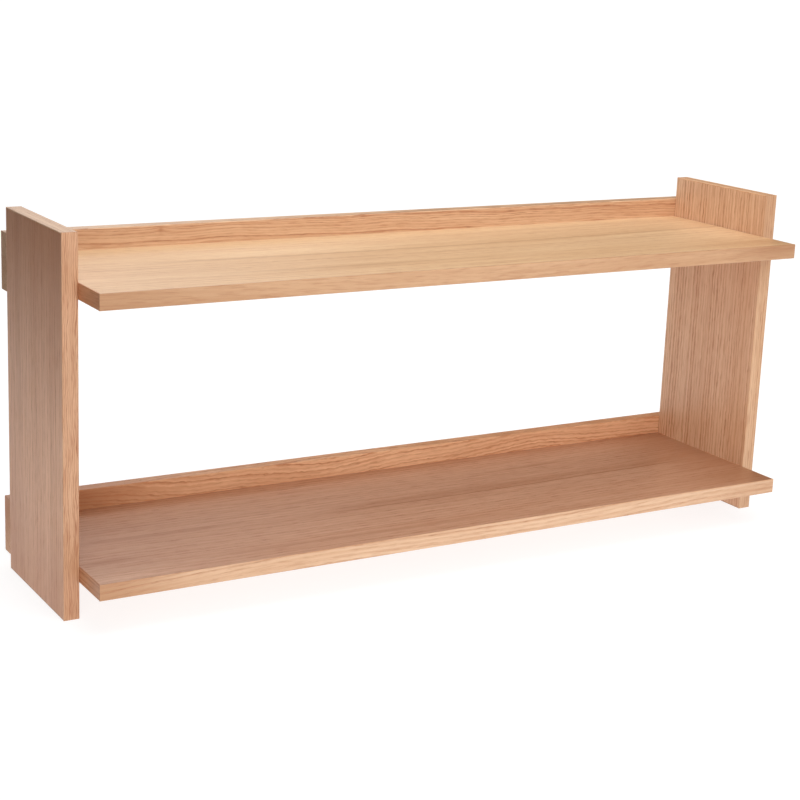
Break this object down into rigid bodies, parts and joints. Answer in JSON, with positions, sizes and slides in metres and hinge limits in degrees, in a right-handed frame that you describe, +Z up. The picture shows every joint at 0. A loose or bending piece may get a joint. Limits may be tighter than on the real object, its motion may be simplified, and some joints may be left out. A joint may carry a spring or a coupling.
{
  "type": "two-tier wall shelf",
  "caption": "Oak wall shelf with side panels, an upper and a lower shelf board reaching out past them, and back rails that carry it on the wall.",
  "frame": {"origin": "middle of the overall length and depth, at the level of the side panels' undersides", "axes": "+X along the shelves, +Y towards the wall, +Z up"},
  "size_m": [0.8, 0.213, 0.35],
  "materials": {
    "oak_veneered_board": "light oak veneer, straight grain, matt oiled",
    "oak_edge_band": "light oak edge band, matt oiled",
    "solid_oak": "solid oak, lively flat-sawn grain, matt oiled",
    "beech": "bare fluted beech",
    "zinc_plated_steel": "bright zinc plate",
    "hanger_steel": "rolled and nickel-plated steel"
  },
  "bodies": {
    "root": {"left_panel": "oak_veneered_board", "right_panel": "oak_veneered_board", "upper_shelf": "oak_veneered_board", "lower_shelf": "oak_veneered_board", "upper_rail": "solid_oak", "lower_rail": "solid_oak", "left_panel_front_band": "oak_edge_band", "left_panel_rear_band": "oak_edge_band", "left_panel_top_band": "oak_edge_band", "left_panel_bottom_band": "oak_edge_band", "right_panel_front_band": "oak_edge_band", "right_panel_rear_band": "oak_edge_band", "right_panel_top_band": "oak_edge_band", "right_panel_bottom_band": "oak_edge_band", "upper_shelf_front_band": "oak_edge_band", "upper_shelf_left_band": "oak_edge_band", "upper_shelf_right_band": "oak_edge_band", "lower_shelf_front_band": "oak_edge_band", "lower_shelf_left_band": "oak_edge_band", "lower_shelf_right_band": "oak_edge_band", "upper_left_dowels": "beech", "upper_right_dowels": "beech", "lower_left_dowels": "beech", "lower_right_dowels": "beech", "upper_rail_screws": "zinc_plated_steel", "lower_rail_screws": "zinc_plated_steel", "left_keyhole_plate": "hanger_steel", "right_keyhole_plate": "hanger_steel", "left_plate_screws": "zinc_plated_steel", "right_plate_screws": "zinc_plated_steel"}
  },
  "joints": []
}
